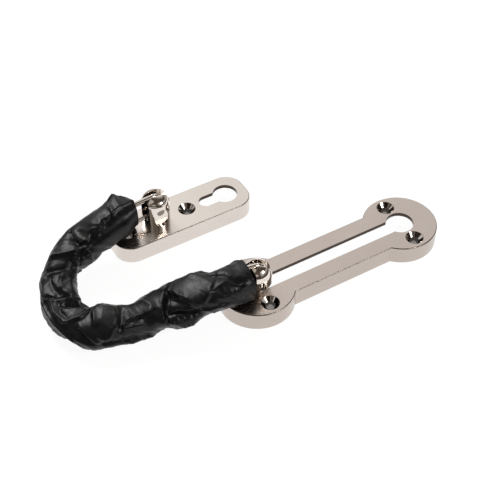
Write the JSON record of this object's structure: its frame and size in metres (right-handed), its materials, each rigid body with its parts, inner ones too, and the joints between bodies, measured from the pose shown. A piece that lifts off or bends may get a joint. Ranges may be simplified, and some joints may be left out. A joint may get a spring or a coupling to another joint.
{
  "type": "door chain",
  "caption": "Door chain lying on its back: a keyhole slide plate with a domed slider, a chain in a crumpled black sleeve, and a small anchor plate with a slotted post.",
  "frame": {"origin": "The middle of the slide plate, in the plane of its back: the centre of its four screw holes.", "axes": "+X runs along the slide plate from the end where the slider rests to the keyhole end, +Z points away from the door, out of the plate's face, and +Y points across to the anchor plate, which lies parallel to the slide plate."},
  "size_m": [0.1949, 0.0937, 0.0292],
  "materials": {
    "satin_nickel": "satin nickel plate, brushed finely along each plate",
    "bright_nickel": "polished nickel plate",
    "black_leatherette": "thin black leatherette with a soft sheen"
  },
  "bodies": {
    "slide": {"slide_plate": "satin_nickel"},
    "carrier": {"slider_disc": "bright_nickel"},
    "head": {"slider_head": "bright_nickel", "slider_pin": "bright_nickel"},
    "chain": {"chain_link_01": "bright_nickel", "chain_link_02": "bright_nickel", "chain_link_03": "bright_nickel", "chain_link_04": "bright_nickel", "chain_link_05": "bright_nickel", "chain_link_06": "bright_nickel", "chain_link_07": "bright_nickel", "chain_link_08": "bright_nickel", "chain_link_09": "bright_nickel", "chain_link_10": "bright_nickel", "chain_link_11": "bright_nickel", "sleeve": "black_leatherette"},
    "anchor": {"anchor_plate": "satin_nickel", "anchor_post": "bright_nickel", "anchor_pin": "bright_nickel"}
  },
  "joints": [
    {"name": "slider_travel", "type": "slide", "parent": "slide", "child": "carrier", "axis": [1, 0, 0], "range_m": [0, 0.083]},
    {"name": "slider_swivel", "type": "hinge", "parent": "carrier", "child": "head", "pos_m": [-0.0415, 0, 0.0052], "axis": [0, 0, 1], "range_deg": [-25, 45]},
    {"name": "chain_lift", "type": "hinge", "parent": "head", "child": "chain", "pos_m": [-0.0415, 0, 0.0192], "axis": [0.2924, 0.9563, 0], "range_deg": [0, 37.5]},
    {"name": "anchor_swing", "type": "hinge", "parent": "chain", "child": "anchor", "pos_m": [-0.0619, 0.063, 0.0199], "axis": [0, -1, 0], "range_deg": [0, 90]}
  ],
  "couplings": [
    {"joint": "chain_lift", "follows": "slider_travel", "rad_per_m": 7.85}
  ]
}
